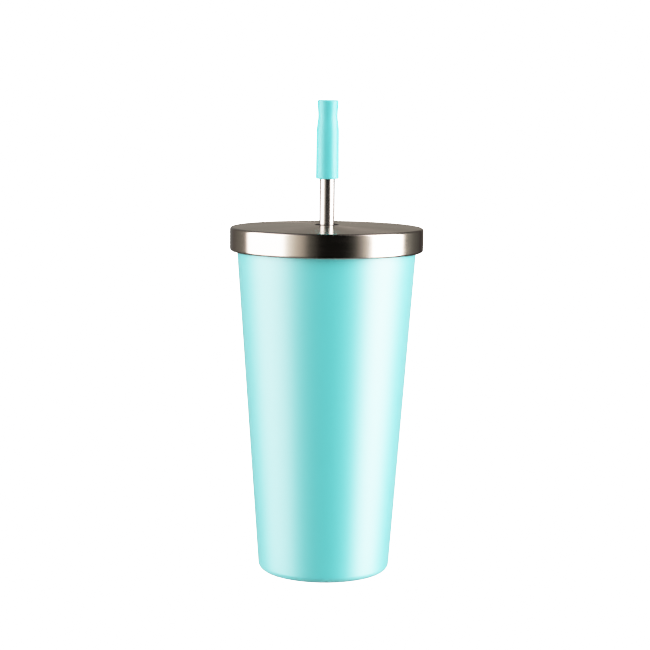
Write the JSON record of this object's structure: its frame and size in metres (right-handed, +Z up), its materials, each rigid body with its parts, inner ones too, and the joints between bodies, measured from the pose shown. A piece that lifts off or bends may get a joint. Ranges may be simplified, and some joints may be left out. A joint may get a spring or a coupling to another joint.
{
  "type": "insulated tumbler",
  "caption": "Tapered double-walled steel tumbler with a mint coating, a brushed steel screw-on lid, and a straight steel straw with a soft mouthpiece.",
  "frame": {"origin": "centre of the foot ring, on the surface that the cup stands on", "axes": "+Z up along the axis of the cup, lid and straw; +X and +Y are equal, as the outside is a body of revolution"},
  "size_m": [0.1006, 0.1006, 0.2464],
  "materials": {
    "mint_coat": "satin powder coat",
    "lid_steel": "fine brushed round the axis",
    "inner_steel": "electropolished, satin",
    "base_steel": "satin",
    "straw_steel": "polished",
    "mint_silicone": "matte, slightly translucent",
    "clear_silicone": "matte, translucent",
    "dark_silicone": "matte",
    "white_plastic": "moulded polypropylene",
    "copper_foil": "bright foil",
    "solder_glass": "fused bead",
    "getter_metal": "pressed powder"
  },
  "bodies": {
    "cup": {"outer_shell": "mint_coat", "base_cover": "base_steel", "vacuum_bottom": "base_steel", "sealing_glass": "solder_glass", "getter_pill": "getter_metal", "getter_clip": "base_steel", "inner_liner": "inner_steel", "inner_bottom": "inner_steel", "foil_wrap": "copper_foil", "foil_disc": "copper_foil"},
    "seal": {"lid_gasket": "clear_silicone"},
    "lid": {"lid_cover": "lid_steel", "lid_insert": "white_plastic", "straw_grommet": "dark_silicone"},
    "straw": {"straw_tube": "straw_steel"},
    "tip": {"straw_tip": "mint_silicone"}
  },
  "joints": [
    {"name": "lid_rise", "type": "slide", "parent": "cup", "child": "seal", "axis": [0, 0, 1], "range_m": [0, 0.009]},
    {"name": "lid_turn", "type": "hinge", "parent": "seal", "child": "lid", "pos_m": [0, 0, 0.1745], "axis": [0, 0, 1], "range_deg": [0, 360]},
    {"name": "straw_slide", "type": "slide", "parent": "lid", "child": "straw", "axis": [0, 0, 1], "range_m": [0, 0.18]},
    {"name": "tip_pull", "type": "slide", "parent": "straw", "child": "tip", "axis": [0, 0, 1], "range_m": [0, 0.026]}
  ],
  "couplings": [
    {"joint": "lid_rise", "follows": "lid_turn", "m_per_rad": 0.0014323}
  ]
}
